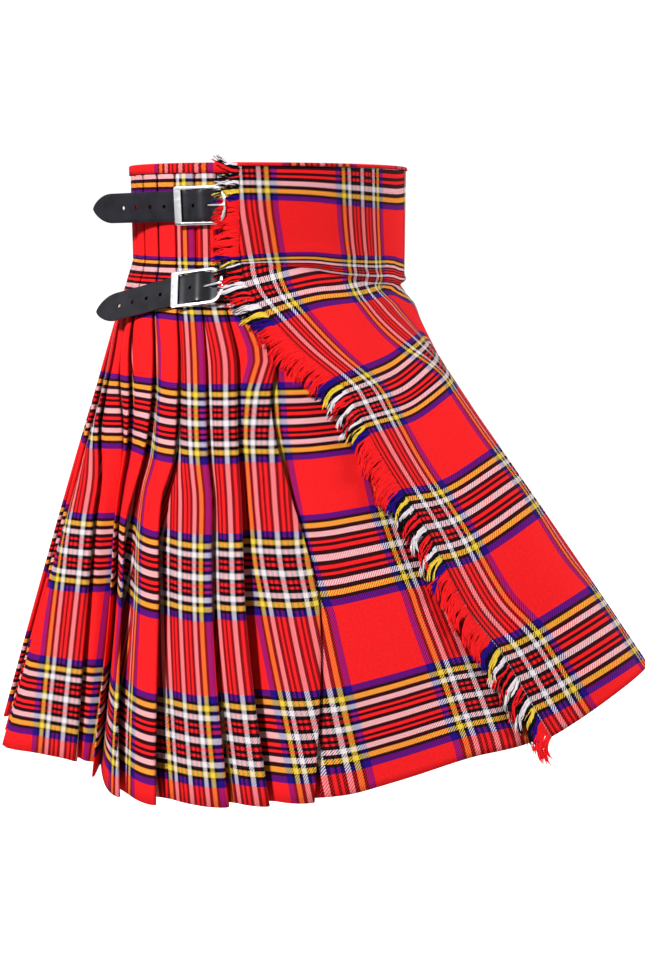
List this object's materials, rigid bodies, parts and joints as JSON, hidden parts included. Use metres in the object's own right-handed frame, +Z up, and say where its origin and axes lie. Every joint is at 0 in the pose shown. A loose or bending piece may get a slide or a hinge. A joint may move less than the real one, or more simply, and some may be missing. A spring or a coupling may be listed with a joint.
{
  "type": "tartan kilt",
  "caption": "Knee-length pleated wrap skirt in tartan cloth, flat apron with a fringed edge, closed at the hip by leather straps and buckles, filled out as worn.",
  "frame": {"origin": "centre of the waist opening, level with the top of the waistband", "axes": "+Z up along the wearer's body, -Y the way the wearer faces, -X the wearer's right hip with the buckles"},
  "size_m": [0.674, 0.7791, 0.626],
  "materials": {
    "tartan cloth": "matte woven twill",
    "waistband cloth": "matte woven twill",
    "fringe yarn": "matte yarn",
    "black leather": "gloss",
    "silver metal": "polished plate"
  },
  "bodies": {
    "root": {"front_apron": "tartan cloth", "pleated_back": "tartan cloth", "under_apron": "tartan cloth", "waistband_front": "waistband cloth", "waistband_back": "waistband cloth", "waistband_under": "waistband cloth", "apron_fringe": "fringe yarn", "upper_strap": "black leather", "upper_chape": "black leather", "upper_buckle_frame": "silver metal", "upper_buckle_bar": "silver metal", "upper_buckle_prong": "silver metal", "lower_strap": "black leather", "lower_chape": "black leather", "lower_buckle_frame": "silver metal", "lower_buckle_bar": "silver metal", "lower_buckle_prong": "silver metal"}
  },
  "joints": []
}
